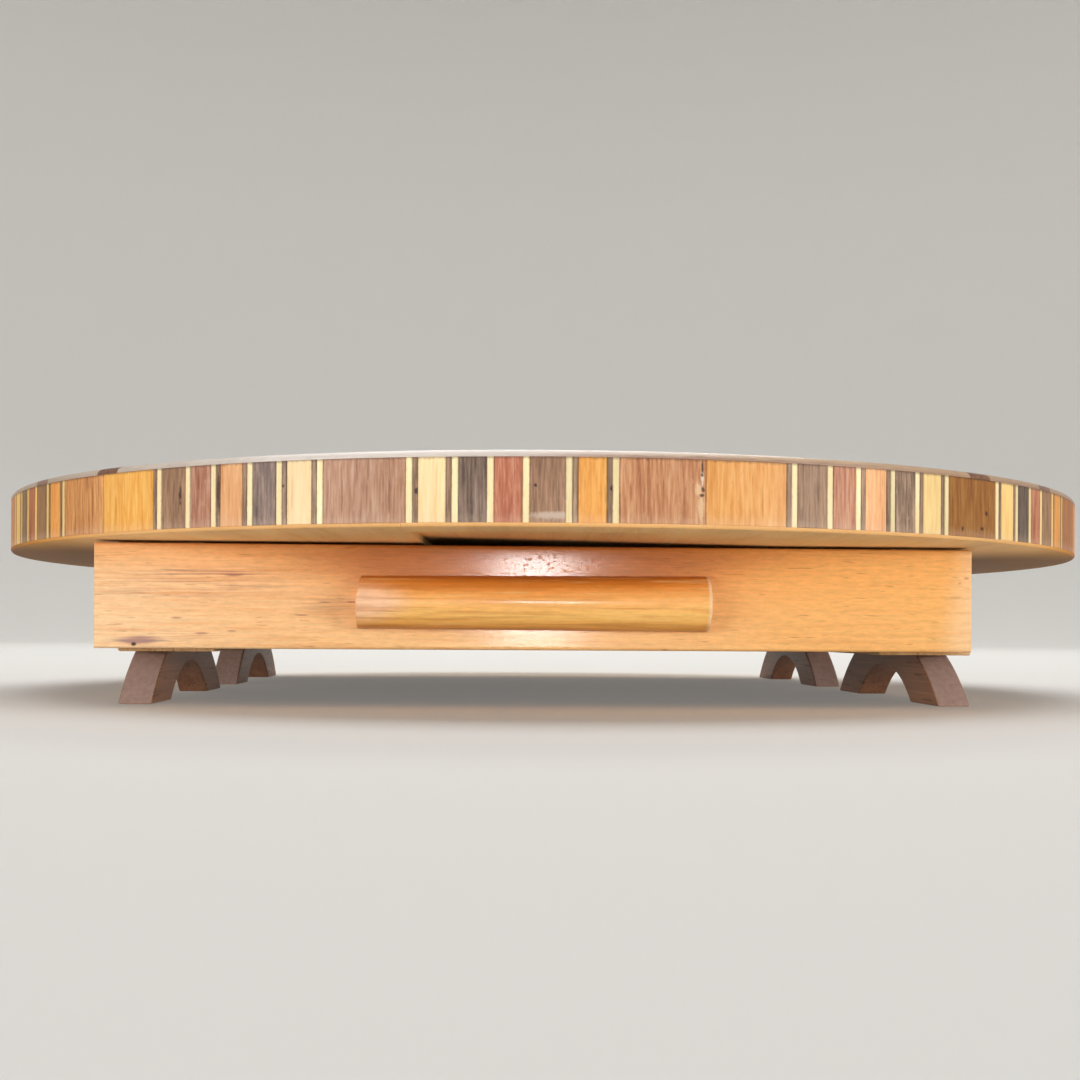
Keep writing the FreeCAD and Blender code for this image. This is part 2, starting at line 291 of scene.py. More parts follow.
def stripFinish(timber):
    tones = timbers[timber]
    pale = timber in ("cream", "pale_lines")
    look = {**woodLook, **tones, "drawn": (0.07, 0.1, 0.3), "fine": 0.62, "poreDepth": 0.08 if pale else 0.35}
    look["pore"] = tuple(level * 0.55 for level in tones["dark"][:3]) + (1.0,)
    finish = Finish("strip_" + timber, {
        "Coat Weight": 0.08, "Coat Roughness": 0.25, "IOR": woodIor, "Specular IOR Level": 0.22})
    colour, grain, pores = woodColour(finish, 2, look)
    if not pale:
        flecks = finish.noise(finish.stretch((1, 1, 0.22)), 1100, 2, 0.6)
        colour = finish.blend(finish.remap(flecks, 0.56, 0.7, 0.0, 0.3), colour, tones["dark"])
        colour = finish.blend(finish.remap(flecks, 0.42, 0.3, 0.0, 0.3), colour, tones["light"])
    place = finish.add("Attribute", {"attribute_name": "stripPlace"}, None, "Vector")
    fromLeft, fromRight = finish.axes(place)[:2]
    tint = finish.add("Attribute", {"attribute_name": "stripTint"}, None, "Vector")
    colour = finish.blend(1.0, colour, tint, "MULTIPLY")
    colour = warmSides(finish, colour)
    wobble = finish.noise(finish.place, 700, 2) - 0.5
    edge = fromLeft.math("MINIMUM", fromRight) + wobble * (0.5 * mm)
    glue = finish.remap(edge, 0.05 * mm, 0.4 * mm, 0.35, 0.0)
    colour = finish.blend(glue, colour, band["crack"])
    low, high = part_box("edge_amber")
    z = finish.axes(finish.place)[2]
    # pale along the foot of the strips: partly dust, partly a painted sheen
    dustAndSheen = finish.remap(z + wobble * (3 * mm), low.z, low.z + 3.5 * mm, 0.16, 0.0)
    colour = finish.blend(dustAndSheen, colour, band["dustAndSheen"])
    # darker along the top edge of the strips, at the joint under the sheet
    topEdgeDark = finish.remap(z + wobble * (1.2 * mm), high.z - 0.9 * mm, high.z - 0.1 * mm, 0.0, 0.45)
    colour = finish.blend(topEdgeDark, colour, band["topEdgeDark"])
    colour = flawed(finish, colour, timber, low.z)
    finish.set({"Base Color": colour, "Roughness": 0.46 + 0.3 * (grain - 0.5) + 0.25 * pores + 0.25 * glue})
    finish.bump(grain * 0.6 - pores - glue * 2, 0.1 * mm)
    return finish


def flawed(finish, colour, timber, foot):  # black spots, a painted highlight low on one strip, and the chipped and filled seam
    ragged = finish.noise(finish.stretch((1, 1, 0.5)), 1500, 3, 0.7) - 0.5
    rim = cadBox[1].x
    for owner, kind, degrees, height, halfWidth, halfHeight in band["flaws"]:
        if owner == timber:
            turn = math.radians(degrees) + topTurn
            spot = (rim * math.sin(turn), -rim * math.cos(turn), foot + height * mm)
            away = finish.away(spot, (halfWidth * mm, halfWidth * mm, halfHeight * mm))
            away = away + ragged * (1.1 if kind == "smear" else 2.2)
            colour = finish.blend(finish.remap(away, 0.45, 1.25, 0.9, 0.0), colour, band[kind])
    return colour


# Mesh helpers

def linked(name, data):
    piece = bpy.data.objects.new(name, data)
    bpy.context.scene.collection.objects.link(piece)
    return piece


def meshFrom(name, bm):
    bmesh.ops.recalc_face_normals(bm, faces=bm.faces)
    mesh = bpy.data.meshes.new(name)
    bm.to_mesh(mesh)
    bm.free()
    return mesh


def freeze(piece):  # modifiers become plain mesh
    shown = piece.evaluated_get(bpy.context.evaluated_depsgraph_get())
    mesh = bpy.data.meshes.new_from_object(shown)
    piece.modifiers.clear()
    piece.data = mesh


def easeEdges(piece, width, segments=2):
    bevel = piece.modifiers.new("arris", "BEVEL")
    bevel.width = width
    bevel.segments = segments
    bevel.limit_method = "ANGLE"
    bevel.angle_limit = math.radians(40)
    freeze(piece)


def smooth(piece, degrees=32):  # flat faces stay flat, because a face's normal counts by its area
    piece.data.shade_smooth()
    piece.data.set_sharp_from_angle(angle=math.radians(degrees))
    weighted = piece.modifiers.new("flatFaces", "WEIGHTED_NORMAL")
    weighted.keep_sharp = True
    weighted.weight = 100
    freeze(piece)


def hand(piece, finish, body, nodes):  # finish, body and the nodes that it stands for
    piece.data.materials.clear()
    piece.data.materials.append(finish.material)
    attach(piece, body)
    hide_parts(*nodes)


def softCopy(name, node, width, segments=2):
    bm = bmesh.new()
    bm.from_mesh(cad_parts[node].data)
    bmesh.ops.remove_doubles(bm, verts=bm.verts, dist=same)
    bmesh.ops.dissolve_limit(bm, angle_limit=math.radians(0.5), verts=bm.verts, edges=bm.edges)
    piece = linked(name, meshFrom(name, bm))
    easeEdges(piece, width, segments)
    smooth(piece)
    return piece


def skin(bm, rings):  # faces between closed rings, and over both ends
    for near, far in zip(rings, rings[1:]):
        for i in range(len(near)):
            j = (i + 1) % len(near)
            bm.faces.new((near[i], near[j], far[j], far[i]))
    bm.faces.new(rings[0])
    bm.faces.new(rings[-1])


def lathe(profile, steps):  # solid turned from a profile that runs from the middle below to the middle above
    bm = bmesh.new()
    rings = []
    for radius, z in profile:
        turns = [2 * math.pi * i / steps for i in range(steps)]
        rings.append([bm.verts.new((radius * math.cos(t), radius * math.sin(t), z)) for t in turns])
    for low, high in zip(rings, rings[1:]):
        for i in range(steps):
            j = (i + 1) % steps
            bm.faces.new((low[i], low[j], high[j], high[i]))
    bm.faces.new(rings[0][::-1])
    bm.faces.new(rings[-1])
    return bm


def sliceOff(bm, point, outward):
    everything = bm.verts[:] + bm.edges[:] + bm.faces[:]
    cut = bmesh.ops.bisect_plane(bm, geom=everything, plane_co=point, plane_no=outward, clear_outer=True)
    rim = [item for item in cut["geom_cut"] if isinstance(item, bmesh.types.BMEdge)]
    bmesh.ops.holes_fill(bm, edges=rim, sides=0)


# Geometry Nodes helpers

def newTree(name, inputs):
    tree = bpy.data.node_groups.new(name, "GeometryNodeTree")
    tree.interface.new_socket("Geometry", in_out="INPUT", socket_type="NodeSocketGeometry")
    for label, kind in inputs.items():
        tree.interface.new_socket(label, in_out="INPUT", socket_type="NodeSocket" + kind)
    tree.interface.new_socket("Geometry", in_out="OUTPUT", socket_type="NodeSocketGeometry")
    return tree


def treeNode(tree, kind, settings=None, sockets=None):
    node = tree.nodes.new(kind)
    for key, value in (settings or {}).items():
        setattr(node, key, value)
    for key, value in (sockets or {}).items():
        if isinstance(value, bpy.types.NodeSocket):
            tree.links.new(value, node.inputs[key])
        else:
            node.inputs[key].default_value = value
    return node


def runTree(piece, tree, values):
    modifier = piece.modifiers.new(tree.name, "NODES")
    modifier.node_group = tree
    for item in tree.interface.items_tree:
        if item.item_type == "SOCKET" and item.in_out == "INPUT" and item.name in values:
            modifier[item.identifier] = values[item.name]
    freeze(piece)


def ringTree():
    tree = newTree("ringOfStrips", {"Repeats": "Int", "Timber": "Material"})
    given = treeNode(tree, "NodeGroupInput").outputs
    points = treeNode(tree, "GeometryNodePoints", None, {"Count": given["Repeats"]})
    index = treeNode(tree, "GeometryNodeInputIndex")
    step = treeNode(tree, "ShaderNodeMath", {"operation": "DIVIDE"}, {0: 2 * math.pi, 1: given["Repeats"]})
    turn = treeNode(tree, "ShaderNodeMath", {"operation": "MULTIPLY"}, {
        0: index.outputs[0], 1: step.outputs[0]})
    euler = treeNode(tree, "ShaderNodeCombineXYZ", None, {"Z": turn.outputs[0]})
    rotation = treeNode(tree, "FunctionNodeEulerToRotation", None, {0: euler.outputs[0]})
    copies = treeNode(tree, "GeometryNodeInstanceOnPoints", None, {
        "Points": points.outputs[0], "Instance": given["Geometry"], "Rotation": rotation.outputs[0]})
    stored = treeNode(tree, "GeometryNodeStoreNamedAttribute", {"data_type": "INT", "domain": "INSTANCE"}, {
        "Geometry": copies.outputs[0], "Name": "repeat", "Value": index.outputs[0]})
    solid = treeNode(tree, "GeometryNodeRealizeInstances", None, {0: stored.outputs[0]})
    coated = treeNode(tree, "GeometryNodeSetMaterial", None, {
        "Geometry": solid.outputs[0], "Material": given["Timber"]})
    treeNode(tree, "NodeGroupOutput", None, {0: coated.outputs[0]})
    return tree


def stripRings(start, end, rim, low, high):  # cross-sections of one strip, drawn in at both ends
    arris = band["arris"]
    first = start + arris / rim
    last = end - arris / rim
    count = max(1, math.ceil(math.degrees(last - first) / band["step"]))
    turns = [start] + [first + (last - first) * i / count for i in range(count + 1)] + [end]
    for turn in turns:
        face = rim - arris if turn in (start, end) else rim
        outline = [
            (cadBox[1].x - band["depth"], low), (rim - arris, low), (face, low + arris),
            (face, high - arris), (rim - arris, high), (cadBox[1].x - band["depth"], high),
        ]
        yield turn, [(r * math.sin(turn), -r * math.cos(turn), z) for r, z in outline]


def stripsOfTimber(timber, low, high):
    dice = random.Random(timber)
    circle = math.radians(360 / band["repeats"])
    widths = [band["strips"][kind] for name, kind in band["pattern"]]
    bm = bmesh.new()
    place = bm.verts.layers.float_vector.new("stripPlace")
    start = math.radians(band["seam"]) + topTurn
    order = 0  # place of a strip among its timber's strips
    for (name, kind), width in zip(band["pattern"], widths):
        end = start + circle * width / sum(widths)
        if name == timber:
            rim = cadBox[1].x - dice.uniform(0, band["proud"])
            rings = []
            for turn, corners in stripRings(start, end, rim, low, high):
                ring = [bm.verts.new(corner) for corner in corners]
                for vert in ring:
                    vert[place] = ((turn - start) * rim, (end - turn) * rim, order)
                rings.append(ring)
            order += 1
            skin(bm, rings)
        start = end
    return bm


def tintStrips(mesh, timber):
    copies = mesh.attributes["repeat"].data
    places = mesh.attributes["stripPlace"].data
    tints = mesh.attributes.new("stripTint", "FLOAT_VECTOR", "POINT")
    for i in range(len(mesh.vertices)):
        strip = (timber, copies[i].value, round(places[i].vector.z))
        shade = 1 + random.Random(str(strip)).uniform(-band["shadeSpread"], band["shadeSpread"])
        tints.data[i].vector = Vector(band["strays"].get(strip, (1, 1, 1))) * shade


def makeBand():
    tree = ringTree()
    for timber in timbers:
        node = "edge_" + timber
        low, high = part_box(node)
        piece = linked("strips_" + timber, meshFrom(node, stripsOfTimber(timber, low.z, high.z)))
        finish = stripFinish(timber)
        runTree(piece, tree, {"Repeats": band["repeats"], "Timber": finish.material})
        tintStrips(piece.data, timber)
        smooth(piece)
        hand(piece, finish, "case", [node])
    print("edge band:", band["repeats"], "repeats of", len(band["pattern"]), "strips")


# Round top: core boards and the pale sheet with its inlay

core = {
    "lipRound": 1.0 * mm,
    "joints": [-162.3 * mm, -41.3 * mm, 79.7 * mm],
    "jointArris": 0.3 * mm,
    "cupDepth": 2.2 * mm,
    "cupRim": 20 * mm,
    "steps": 288,
    "wood": {
        "dark": rgb(244, 202, 142), "base": rgb(252, 216, 158), "light": rgb(254, 224, 172),
        "pore": rgb(180, 124, 74), "fine": 0.35, "poreDepth": 0.1, "rough": 0.6,
    },
    "lip": rgb(226, 164, 96),
    "shade": rgb(100, 59, 28),
}


def coreFinish():
    look = {**woodLook, **core["wood"]}
    finish = Finish("corePine", {"IOR": woodIor, "Specular IOR Level": 0.1})
    finish.turn = topTurn
    colour, grain, pores = woodColour(finish, 1, look)
    rim = finish.remap(finish.away((0, 0, 0), (cadBox[1].x, cadBox[1].x, endless)), 0.994, 0.998)
    colour = warmSides(finish, finish.blend(rim * 0.7, colour, core["lip"]))
    x, y = finish.axes(finish.place)[:2]
    # painted shade: the underside darkens towards both sides and away from the front
    aside = finish.remap(x.math("ABSOLUTE", 0.0), 120 * mm, 170 * mm)
    behind = finish.remap(y, -160 * mm, -70 * mm, 0.0, 0.8)
    colour = finish.blend(aside * behind, colour, core["shade"])
    finish.set({"Base Color": colour, "Roughness": look["rough"] + 0.2 * (grain - 0.5)})
    finish.bump(grain - pores * 0.6, 0.15 * mm)
    return finish


def roundOver(rim, level, radius, start, end, count=6):  # points of an arc on the rim's corner
    for i in range(count + 1):
        turn = math.radians(start + (end - start) * i / count)
        yield rim - radius + radius * math.cos(turn), level + radius * math.sin(turn)


def coreProfile(cupped):
    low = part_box("top_board_left")[0].z
    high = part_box("edge_amber")[1].z
    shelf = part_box("edge_amber")[0].z
    rim = cadBox[1].x
    cup = rim - core["cupRim"]
    start = [(cup, low + core["cupDepth"]), (cup, low)] if cupped else []
    lip = list(roundOver(rim, low + core["lipRound"], core["lipRound"], -90, 0))
    inner = rim - band["depth"]
    return start + lip + [(rim, shelf), (inner, shelf), (inner, high)]


def makeBoards():
    finish = coreFinish()
    rim = cadBox[1].x
    limits = [-2 * rim] + core["joints"] + [2 * rim]
    for name, left, right in zip(("far_left", "left", "middle", "right"), limits, limits[1:]):
        cupped = name == "middle"
        bm = lathe(coreProfile(cupped), core["steps"])
        if cupped:
            slopeCup(bm, left, right)
        sliceOff(bm, topAcross * left, -topAcross)
        sliceOff(bm, topAcross * right, topAcross)
        node = "top_board_" + name
        piece = linked("core_board_" + name, meshFrom(node, bm))
        easeEdges(piece, core["jointArris"], 1)
        smooth(piece)
        hand(piece, finish, "case", [node])
    print("core boards:", len(limits) - 1)


def slopeCup(bm, left, right):  # the hollow is deepest at the open joint
    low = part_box("top_board_left")[0].z
    for vert in bm.verts:
        if abs(vert.co.z - low - core["cupDepth"]) < same:
            share = min(1.0, max(0.01, (right - vert.co.dot(topAcross)) / (right - left)))
            vert.co.z = low + core["cupDepth"] * share


sheet = {
    "round": 1.9 * mm,
    "arris": 0.12 * mm,
    "inlayInset": 46.5 * mm,  # from the rim to a strip's outer side
    "inlayWidth": 7.0 * mm,
    "wood": {
        "dark": rgb(196, 176, 158), "base": rgb(222, 204, 186), "light": rgb(234, 218, 202),
        "pore": rgb(150, 120, 96), "poreDepth": 0.35, "fine": 0.45, "gloss": 0.35, "rough": 0.36,
        "clouds": 22,
    },
    "rim": [  # from the left to the right; the pale stops left of the middle are a painted highlight
        (0.05, rgb(156, 126, 92)), (0.3, rgb(222, 212, 204)), (0.46, rgb(222, 210, 202)),
        (0.62, rgb(194, 166, 138)), (0.95, rgb(166, 126, 88)),
    ],
    "rimFoot": rgb(146, 108, 88),
    "inlay": {
        "dark": rgb(84, 52, 32), "base": rgb(122, 78, 48), "light": rgb(154, 104, 68),
        "pore": rgb(52, 32, 22), "poreDepth": 0.6, "gloss": 0.35, "rough": 0.36,
    },
}


def sheetFinish():  # the rim's colour runs from left to right: a painted highlight left of the middle, browner towards both sides
    look = {**woodLook, **sheet["wood"]}
    finish = Finish("paleSheet", {"IOR": woodIor, "Coat Weight": look["gloss"], "Coat Roughness": 0.25})
    finish.turn = topTurn
    colour, grain, pores = woodColour(finish, 0, look)
    x, y, z = finish.axes(finish.place)
    radius = cadBox[1].x
    rim = finish.remap(finish.away((0, 0, 0), (radius, radius, endless)), 0.988, 0.994)
    patches = finish.noise(finish.place, 160, 3) - 0.5
    tone = finish.ramp(x * (0.5 / radius) + 0.5 + patches * 0.06, sheet["rim"])
    tone = finish.blend(1.0, tone, grain * 0.5 + 0.75, "MULTIPLY")
    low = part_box("top_sheet_field")[0].z
    foot = finish.remap(z + patches * (1.2 * mm), low + 0.4 * mm, low + 1.1 * mm, 0.7, 0.0)
    foot = foot * finish.remap(x, -30 * mm, 20 * mm, 0.15, 1.0)
    foot = foot * finish.remap(x, 50 * mm, 120 * mm, 1.0, 0.45)
    tone = finish.blend(foot, tone, sheet["rimFoot"])
    colour = finish.blend(rim, colour, tone)
    finish.set({"Base Color": colour, "Roughness": look["rough"] + 0.25 * (grain - 0.5) + 0.2 * pores})
    finish.bump(grain - pores * 0.8, look["depth"])
    return finish


def makeSheet():
    pale = sheetFinish()
    brown = {axis: plainWood("brownInlay" + "XY"[axis], axis, sheet["inlay"], topTurn) for axis in (0, 1)}
    low, high = (corner.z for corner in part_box("top_sheet_field"))
    rim = cadBox[1].x
    profile = [(rim, low)] + list(roundOver(rim, high - sheet["round"], sheet["round"], 0, 90, 8))
    ways = {"front": -topDeep, "back": topDeep, "left": -topAcross, "right": topAcross}
    outer = rim - sheet["inlayInset"]
    inner = outer - sheet["inlayWidth"]
    cuts = {"top_sheet_field": [(way * inner, way) for way in ways.values()]}
    for name, way in ways.items():
        cuts["top_sheet_" + name] = [(way * outer, -way)]
        cuts["top_inlay_" + name] = [(way * inner, -way), (way * outer, way)]
    for node, planes in cuts.items():
        bm = lathe(profile, core["steps"])
        for point, outward in planes:
            sliceOff(bm, point, outward)
        piece = linked(node.replace("top_", "round_"), meshFrom(node, bm))
        easeEdges(piece, sheet["arris"], 1)
        smooth(piece)
        if "inlay" in node:
            hand(piece, brown[0 if node.endswith(("front", "back")) else 1], "case", [node])
        else:
            hand(piece, pale, "case", [node])
    print("top sheet and inlay:", len(cuts), "pieces")


# Case, runners and cleats

pine = {
    "dark": rgb(206, 156, 98), "base": rgb(228, 184, 128), "light": rgb(242, 206, 154),
    "pore": rgb(160, 108, 62), "poreDepth": 0.3, "fine": 0.35, "gloss": 0.0, "rough": 0.58,
}
paleDrawer = {
    "dark": rgb(214, 168, 112), "base": rgb(236, 196, 142), "light": rgb(246, 216, 168),
    "pore": rgb(168, 118, 72), "poreDepth": 0.3, "fine": 0.35, "gloss": 0.0, "rough": 0.6,
}
plyLook = {
    "dark": rgb(206, 170, 126), "base": rgb(224, 192, 150), "light": rgb(236, 210, 174),
    "pore": rgb(166, 126, 84), "poreDepth": 0.4, "fine": 0.5, "gloss": 0.0, "rough": 0.62, "clouds": 16,
}
boardArris = 0.5 * mm
plyArris = 0.2 * mm


def makeCase():
    along = plainWood("casePineLong", 1, pine)
    across = plainWood("casePineCross", 0, pine)
    boards = ["case_side_left", "case_side_right", "drawer_runner_left", "drawer_runner_right",
              "top_cleat_left", "top_cleat_right"]
    for node in boards:
        hand(softCopy("pine_" + node, node, boardArris), along, "case", [node])
    hand(softCopy("pine_case_back", "case_back", boardArris), across, "case", ["case_back"])
    print("case boards:", len(boards) + 1)


# Bow-shaped feet

foot = {
    "arris": 0.7 * mm,
    "wood": {
        "dark": rgb(118, 78, 54), "base": rgb(152, 104, 74), "light": rgb(176, 128, 94),
        "pore": rgb(60, 40, 30), "poreDepth": 0.5, "fine": 0.5, "gloss": 0.08, "rough": 0.5,
    },
    "worn": rgb(176, 150, 140),
    "wearAndHighlightDark": rgb(160, 132, 122),
}


def footFinish():
    look = {**woodLook, **foot["wood"]}
    finish = Finish("darkFoot", {"IOR": woodIor, "Coat Weight": look["gloss"], "Coat Roughness": 0.3})
    colour, grain, pores = woodColour(finish, 1, look)
    # partly wear, partly painted light: faces that look to the front and up turn pale grey
    worn = finish.add("Attribute", {"attribute_name": "worn"}, None, "Fac")
    patches = finish.noise(finish.stretch((1, 1, 0.6)), 520, 4, 0.65)
    wearAndHighlightTone = finish.ramp(patches, [(0.3, foot["wearAndHighlightDark"]), (0.6, foot["worn"])])
    colour = finish.blend(worn * 0.93, colour, wearAndHighlightTone)
    finish.set({"Base Color": colour, "Roughness": look["rough"] + 0.25 * (grain - 0.5) + 0.12 * worn})
    finish.bump(grain - pores + patches * 0.8, 0.15 * mm)
    return finish


def makeFeet():
    finish = footFinish()
    for end in ("front", "rear"):
        for side in ("left", "right"):
            node = "foot_" + end + "_" + side
            piece = softCopy("bow_" + node, node, foot["arris"], 3)
            worn = piece.data.attributes.new("worn", "FLOAT", "FACE")
            for face in piece.data.polygons:
                # faces toward the front and up carry the pale colour: partly wear, partly painted light
                outerBow = abs(face.normal.x) < 0.5 and face.normal.z > -0.1
                worn.data[face.index].value = 1.0 if outerBow else 0.0
            hand(piece, finish, "case", [node])
    print("feet: 4")


# Drawer

front = {
    "tones": [  # from the bottom up, darker towards the top with painted shade under the round top
        (0.0, rgb(249, 200, 136)), (0.42, rgb(246, 184, 112)),
        (0.78, rgb(247, 172, 92)), (1.0, rgb(243, 158, 74)),
    ],
    "pale": rgb(252, 214, 168),
    "gold": rgb(244, 184, 105),
    "deep": rgb(186, 106, 46),
    "fibre": rgb(210, 130, 66),
    "dash": rgb(136, 68, 34),
    "stain": rgb(158, 90, 84),
    "halo": rgb(136, 92, 110),
    "knot": rgb(40, 22, 24),
    "knotPlace": (-136.5, 20.8),
    "streaked": [  # fields of fine streaks: place on the front, half size and strength, mm
        ((-116.0, 41.5), (40.0, 7.5), 0.35), ((-110.0, 45.0), (18.0, 1.8), 0.5),
        ((-106.0, 40.9), (22.0, 1.6), 0.45), ((-138.0, 37.7), (14.0, 2.0), 0.35),
        ((-118.0, 23.8), (14.0, 1.8), 0.45), ((-70.0, 34.0), (18.0, 5.0), 0.35),
    ],
    "dashes": [  # short dark grain marks: place and half size, mm
        ((-103.2, 44.3), (2.6, 0.45)), ((-122.4, 29.7), (1.8, 0.35)), ((-80.4, 30.9), (2.2, 0.35)),
        ((-73.0, 35.2), (2.6, 0.3)), ((-63.9, 35.4), (1.9, 0.35)), ((-125.5, 37.4), (2.4, 0.35)),
        ((-114.0, 24.6), (2.0, 0.3)), ((-104.0, 25.4), (1.6, 0.3)), ((145.4, 43.4), (1.0, 0.5)),
        ((147.8, 45.1), (1.2, 0.4)),
    ],
    "arris": 0.35 * mm,
}


def frontFinish():
    finish = Finish("lacqueredPine", {
        "IOR": 1.5, "Specular IOR Level": 0.12, "Coat Roughness": 0.13, "Coat IOR": 1.5})
    low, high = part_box("drawer_front")
    half = (high.x - low.x) / 2
    middle = (low.x + high.x) / 2
    x, y, z = finish.axes(finish.place)
    x = x - middle
    sway = finish.noise(finish.stretch((6, 5, 26)), 1.0, 3) - 0.5
    height = (z - low.z) * (1 / (high.z - low.z)) + sway * 0.55
    # painted shade: the ramp darkens the front towards its top
    tone = finish.ramp(height, front["tones"])
    left = finish.remap(x + sway * 0.12, -half, -0.2 * half, 0.85, 0.0)
    left = left * finish.remap(height, 0.5, 1.0, 1.0, 0.35)
    tone = finish.blend(left, tone, front["pale"])
    right = finish.remap(x + sway * 0.1, 0.2 * half, 0.8 * half, 0.0, 0.65)
    tone = finish.blend(right, tone, front["gold"])
    rightEnd = finish.remap(x + sway * 0.02, half - 12 * mm, half, 0.0, 0.6)
    tone = finish.blend(rightEnd, tone, front["pale"])
    deep = finish.away((middle - 4 * mm, 0, high.z - 5 * mm), (88 * mm, endless, 12 * mm)) + sway * 0.8
    tone = finish.blend(finish.remap(deep, 0.4, 1.15, 0.85, 0.0), tone, front["deep"])
    wave = finish.noise(finish.stretch((28, 1, 70)), 1.0, 2) - 0.5
    bent = finish.add("CombineXYZ", None, {"X": x, "Y": 0.0, "Z": z + wave * (2.4 * mm)})
    lines = finish.noise(finish.add("Mapping", None, {"Vector": bent, "Scale": (14, 1, 560)}), 1.0, 3, 0.6)
    fibres = finish.noise(finish.add("Mapping", None, {"Vector": bent, "Scale": (46, 1, 1500)}), 1.0, 2)
    calm = finish.remap(x, 0.0, 0.6 * half, 0.6, 0.3)
    tone = finish.blend(calm * finish.remap(lines * 0.6 + fibres * 0.4, 0.44, 0.7), tone, front["fibre"])
    tone = finish.blend(1.0, tone, fibres * 0.32 + 0.86, "MULTIPLY")
    flecks = finish.noise(finish.stretch((190, 1, 980)), 1.0, 2, 0.7)
    tone = finish.blend(1.0, tone, flecks * 0.44 + 0.79, "MULTIPLY")
    dashes = finish.noise(finish.stretch((130, 1, 1300)), 1.0, 1)
    dashes = finish.remap(dashes, 0.68, 0.74)
    tone = finish.blend(dashes * 0.3, tone, front["dash"])
    tone = stained(finish, tone, middle, lines, fibres)
    mottle = finish.noise(finish.place, 1500, 2)
    speckle = finish.noise(finish.stretch((0.6, 1, 1)), 1000, 1)
    gloss = finish.remap(speckle, 0.32, 0.47, 0.1, 0.75)
    finish.set({
        "Base Color": tone, "Coat Weight": gloss,
        "Roughness": 0.42 + 0.2 * (fibres - 0.5) + 0.3 * (mottle - 0.5) + 0.2 * dashes,
    })
    finish.bump(fibres * 0.4 + mottle - dashes * 0.8, 0.05 * mm)
    return finish


def stained(finish, tone, middle, lines, fibres):  # purple-brown streaks, and the knot near the left end
    threads = finish.noise(finish.stretch((26, 1, 2100)), 1.0, 3, 0.65)
    threads = finish.remap(threads, 0.44, 0.6)
    ragged = (lines - 0.5) * 2.4 + (fibres - 0.5) * 2.4
    for (x, z), (length, width), strength in front["streaked"]:
        away = finish.away((middle + x * mm, 0, z * mm), (length * mm, endless, width * mm)) + ragged * 0.5
        tone = finish.blend(threads * finish.remap(away, 0.2, 1.1, strength, 0.0), tone, front["stain"])
    for (x, z), (length, width) in front["dashes"]:
        away = finish.away((middle + x * mm, 0, z * mm), (length * mm, endless, width * mm)) + ragged
        tone = finish.blend(finish.remap(away, 0.2, 1.4, 0.6, 0.0), tone, front["stain"])
    x, z = front["knotPlace"]
    around = (middle + (x + 1.0) * mm, 0, (z + 1.2) * mm)
    halo = finish.away(around, (9.0 * mm, endless, 2.2 * mm)) + ragged * 0.8
    tone = finish.blend(finish.remap(halo, 0.2, 1.1, 0.75, 0.0), tone, front["halo"])
    heart = finish.away((middle + x * mm, 0, z * mm), (1.2 * mm, endless, 0.8 * mm)) + ragged * 0.2
    return finish.blend(finish.remap(heart, 0.4, 1.1, 0.95, 0.0), tone, front["knot"])


pull = {
    "taper": (8.9 * mm, 9.5 * mm),  # radius at the left and right ends
    "standOff": 1.8 * mm,
    "endRound": 0.5 * mm,
    "endSteps": 5,
    "slant": 1.3 * mm,  # the left end leans in at its top
    "slantFade": 6,  # the lean is gone at a sixth of the length
    "steps": 40,
    "arc": 28,
    "tones": [  # from the bottom up, with painted shade at the top and bottom and a painted highlight across the lower middle
        (0.0, rgb(214, 126, 44)), (0.09, rgb(255, 188, 96)), (0.3, rgb(255, 206, 122)),
        (0.6, rgb(245, 178, 102)), (0.85, rgb(220, 134, 54)), (1.0, rgb(178, 94, 18)),
    ],
    "leftEndHighlight": rgb(250, 208, 176),
    "worn": rgb(250, 226, 196),
    "fibre": rgb(190, 104, 36),
    "glint": rgb(255, 216, 150),
}


def pullFinish():
    finish = Finish("lacqueredPull", {
        "IOR": 1.5, "Specular IOR Level": 0.2, "Coat Weight": 0.3, "Coat Roughness": 0.11})
    low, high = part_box("drawer_pull")
    x, y, z = finish.axes(finish.place)
    sway = finish.noise(finish.stretch((12, 40, 40)), 1.0, 3) - 0.5
    height = (z - low.z) * (1 / (high.z - low.z)) + sway * 0.3
    # painted light: the ramp shades the pull's top and bottom and lightens its lower middle
    tone = finish.ramp(height, pull["tones"])
    # painted highlight: pale pink on the pull's left end
    leftEnd = finish.away((low.x, 0, (low.z + high.z) / 2), (22 * mm, endless, 8 * mm)) + sway
    tone = finish.blend(finish.remap(leftEnd, 0.2, 1.0, 0.8, 0.0), tone, pull["leftEndHighlight"])
    fibres = finish.noise(finish.stretch((40, 1200, 1200)), 1.0, 2)
    streaks = finish.noise(finish.stretch((16, 380, 380)), 1.0, 3, 0.6)
    bands = streaks * 0.65 + fibres * 0.35
    tone = finish.blend(finish.remap(bands, 0.46, 0.66, 0.0, 0.5), tone, pull["fibre"])
    tone = finish.blend(finish.remap(bands, 0.46, 0.32, 0.0, 0.5), tone, pull["glint"])
    flecks = finish.noise(finish.stretch((170, 900, 900)), 1.0, 2, 0.7)
    tone = finish.blend(1.0, tone, fibres * 0.2 + flecks * 0.44 + 0.7, "MULTIPLY")
    # painted highlight: a pale line along the pull's rounded right end
    tone = finish.blend(finish.remap(x, high.x - 1.5 * mm, high.x - 0.5 * mm, 0.0, 0.6), tone, pull["worn"])
    finish.set({"Base Color": tone, "Roughness": 0.3 + 0.25 * (streaks - 0.5)})
    finish.bump(fibres * 0.5 + streaks, 0.05 * mm)
    return finish


